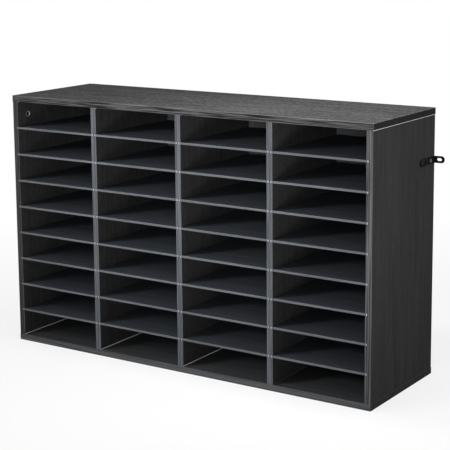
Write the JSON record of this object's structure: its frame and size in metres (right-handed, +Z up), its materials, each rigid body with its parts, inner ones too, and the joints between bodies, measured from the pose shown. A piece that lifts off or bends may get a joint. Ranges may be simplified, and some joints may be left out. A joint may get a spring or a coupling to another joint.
{
  "type": "literature organizer",
  "caption": "Open-fronted cabinet sorter with columns of flat compartments on removable shelves in grooves, holding stacks of letter-size paper and brochures.",
  "frame": {"origin": "under the middle of the base, on the surface it stands on", "axes": "+X to the right along the width, +Y from the open front to the back, +Z up"},
  "size_m": [1.0486, 0.305, 0.625],
  "materials": {
    "board_foil": "black wood-grain foil on particle board, banded edges",
    "shelf_foil": "black wood-grain foil on fibreboard",
    "back_board": "black foil on hardboard",
    "zinc": "bright zinc",
    "beech": "fluted beech",
    "bracket_paint": "satin black powder coat on steel strap"
  },
  "bodies": {
    "carcass": {"top_panel": "board_foil", "bottom_panel": "board_foil", "left_side_panel": "board_foil", "divider_left": "board_foil", "divider_centre": "board_foil", "divider_right": "board_foil", "right_side_panel": "board_foil", "back_panel_col1": "back_board", "back_panel_col2": "back_board", "back_panel_col3": "back_board", "back_panel_col4": "back_board", "cam_locks": "zinc", "cam_bolts": "zinc", "wood_dowels": "beech", "base_screws": "zinc", "wall_bracket_left": "bracket_paint", "wall_bracket_right": "bracket_paint", "bracket_screws": "zinc"},
    "shelf_col1_level1": {"shelf_col1_level1": "shelf_foil"},
    "shelf_col1_level2": {"shelf_col1_level2": "shelf_foil"},
    "shelf_col1_level3": {"shelf_col1_level3": "shelf_foil"},
    "shelf_col1_level4": {"shelf_col1_level4": "shelf_foil"},
    "shelf_col1_level5": {"shelf_col1_level5": "shelf_foil"},
    "shelf_col1_level6": {"shelf_col1_level6": "shelf_foil"},
    "shelf_col1_level7": {"shelf_col1_level7": "shelf_foil"},
    "shelf_col1_level8": {"shelf_col1_level8": "shelf_foil"},
    "shelf_col2_level1": {"shelf_col2_level1": "shelf_foil"},
    "shelf_col2_level2": {"shelf_col2_level2": "shelf_foil"},
    "shelf_col2_level3": {"shelf_col2_level3": "shelf_foil"},
    "shelf_col2_level4": {"shelf_col2_level4": "shelf_foil"},
    "shelf_col2_level5": {"shelf_col2_level5": "shelf_foil"},
    "shelf_col2_level6": {"shelf_col2_level6": "shelf_foil"},
    "shelf_col2_level7": {"shelf_col2_level7": "shelf_foil"},
    "shelf_col2_level8": {"shelf_col2_level8": "shelf_foil"},
    "shelf_col3_level1": {"shelf_col3_level1": "shelf_foil"},
    "shelf_col3_level2": {"shelf_col3_level2": "shelf_foil"},
    "shelf_col3_level3": {"shelf_col3_level3": "shelf_foil"},
    "shelf_col3_level4": {"shelf_col3_level4": "shelf_foil"},
    "shelf_col3_level5": {"shelf_col3_level5": "shelf_foil"},
    "shelf_col3_level6": {"shelf_col3_level6": "shelf_foil"},
    "shelf_col3_level7": {"shelf_col3_level7": "shelf_foil"},
    "shelf_col3_level8": {"shelf_col3_level8": "shelf_foil"},
    "shelf_col4_level1": {"shelf_col4_level1": "shelf_foil"},
    "shelf_col4_level2": {"shelf_col4_level2": "shelf_foil"},
    "shelf_col4_level3": {"shelf_col4_level3": "shelf_foil"},
    "shelf_col4_level4": {"shelf_col4_level4": "shelf_foil"},
    "shelf_col4_level5": {"shelf_col4_level5": "shelf_foil"},
    "shelf_col4_level6": {"shelf_col4_level6": "shelf_foil"},
    "shelf_col4_level7": {"shelf_col4_level7": "shelf_foil"},
    "shelf_col4_level8": {"shelf_col4_level8": "shelf_foil"}
  },
  "joints": [
    {"name": "shelf_col1_level1_slide", "type": "slide", "parent": "carcass", "child": "shelf_col1_level1", "axis": [0, -1, 0], "range_m": [0, 0.292]},
    {"name": "shelf_col1_level2_slide", "type": "slide", "parent": "carcass", "child": "shelf_col1_level2", "axis": [0, -1, 0], "range_m": [0, 0.292]},
    {"name": "shelf_col1_level3_slide", "type": "slide", "parent": "carcass", "child": "shelf_col1_level3", "axis": [0, -1, 0], "range_m": [0, 0.292]},
    {"name": "shelf_col1_level4_slide", "type": "slide", "parent": "carcass", "child": "shelf_col1_level4", "axis": [0, -1, 0], "range_m": [0, 0.292]},
    {"name": "shelf_col1_level5_slide", "type": "slide", "parent": "carcass", "child": "shelf_col1_level5", "axis": [0, -1, 0], "range_m": [0, 0.292]},
    {"name": "shelf_col1_level6_slide", "type": "slide", "parent": "carcass", "child": "shelf_col1_level6", "axis": [0, -1, 0], "range_m": [0, 0.292]},
    {"name": "shelf_col1_level7_slide", "type": "slide", "parent": "carcass", "child": "shelf_col1_level7", "axis": [0, -1, 0], "range_m": [0, 0.292]},
    {"name": "shelf_col1_level8_slide", "type": "slide", "parent": "carcass", "child": "shelf_col1_level8", "axis": [0, -1, 0], "range_m": [0, 0.292]},
    {"name": "shelf_col2_level1_slide", "type": "slide", "parent": "carcass", "child": "shelf_col2_level1", "axis": [0, -1, 0], "range_m": [0, 0.292]},
    {"name": "shelf_col2_level2_slide", "type": "slide", "parent": "carcass", "child": "shelf_col2_level2", "axis": [0, -1, 0], "range_m": [0, 0.292]},
    {"name": "shelf_col2_level3_slide", "type": "slide", "parent": "carcass", "child": "shelf_col2_level3", "axis": [0, -1, 0], "range_m": [0, 0.292]},
    {"name": "shelf_col2_level4_slide", "type": "slide", "parent": "carcass", "child": "shelf_col2_level4", "axis": [0, -1, 0], "range_m": [0, 0.292]},
    {"name": "shelf_col2_level5_slide", "type": "slide", "parent": "carcass", "child": "shelf_col2_level5", "axis": [0, -1, 0], "range_m": [0, 0.292]},
    {"name": "shelf_col2_level6_slide", "type": "slide", "parent": "carcass", "child": "shelf_col2_level6", "axis": [0, -1, 0], "range_m": [0, 0.292]},
    {"name": "shelf_col2_level7_slide", "type": "slide", "parent": "carcass", "child": "shelf_col2_level7", "axis": [0, -1, 0], "range_m": [0, 0.292]},
    {"name": "shelf_col2_level8_slide", "type": "slide", "parent": "carcass", "child": "shelf_col2_level8", "axis": [0, -1, 0], "range_m": [0, 0.292]},
    {"name": "shelf_col3_level1_slide", "type": "slide", "parent": "carcass", "child": "shelf_col3_level1", "axis": [0, -1, 0], "range_m": [0, 0.292]},
    {"name": "shelf_col3_level2_slide", "type": "slide", "parent": "carcass", "child": "shelf_col3_level2", "axis": [0, -1, 0], "range_m": [0, 0.292]},
    {"name": "shelf_col3_level3_slide", "type": "slide", "parent": "carcass", "child": "shelf_col3_level3", "axis": [0, -1, 0], "range_m": [0, 0.292]},
    {"name": "shelf_col3_level4_slide", "type": "slide", "parent": "carcass", "child": "shelf_col3_level4", "axis": [0, -1, 0], "range_m": [0, 0.292]},
    {"name": "shelf_col3_level5_slide", "type": "slide", "parent": "carcass", "child": "shelf_col3_level5", "axis": [0, -1, 0], "range_m": [0, 0.292]},
    {"name": "shelf_col3_level6_slide", "type": "slide", "parent": "carcass", "child": "shelf_col3_level6", "axis": [0, -1, 0], "range_m": [0, 0.292]},
    {"name": "shelf_col3_level7_slide", "type": "slide", "parent": "carcass", "child": "shelf_col3_level7", "axis": [0, -1, 0], "range_m": [0, 0.292]},
    {"name": "shelf_col3_level8_slide", "type": "slide", "parent": "carcass", "child": "shelf_col3_level8", "axis": [0, -1, 0], "range_m": [0, 0.292]},
    {"name": "shelf_col4_level1_slide", "type": "slide", "parent": "carcass", "child": "shelf_col4_level1", "axis": [0, -1, 0], "range_m": [0, 0.292]},
    {"name": "shelf_col4_level2_slide", "type": "slide", "parent": "carcass", "child": "shelf_col4_level2", "axis": [0, -1, 0], "range_m": [0, 0.292]},
    {"name": "shelf_col4_level3_slide", "type": "slide", "parent": "carcass", "child": "shelf_col4_level3", "axis": [0, -1, 0], "range_m": [0, 0.292]},
    {"name": "shelf_col4_level4_slide", "type": "slide", "parent": "carcass", "child": "shelf_col4_level4", "axis": [0, -1, 0], "range_m": [0, 0.292]},
    {"name": "shelf_col4_level5_slide", "type": "slide", "parent": "carcass", "child": "shelf_col4_level5", "axis": [0, -1, 0], "range_m": [0, 0.292]},
    {"name": "shelf_col4_level6_slide", "type": "slide", "parent": "carcass", "child": "shelf_col4_level6", "axis": [0, -1, 0], "range_m": [0, 0.292]},
    {"name": "shelf_col4_level7_slide", "type": "slide", "parent": "carcass", "child": "shelf_col4_level7", "axis": [0, -1, 0], "range_m": [0, 0.292]},
    {"name": "shelf_col4_level8_slide", "type": "slide", "parent": "carcass", "child": "shelf_col4_level8", "axis": [0, -1, 0], "range_m": [0, 0.292]}
  ]
}
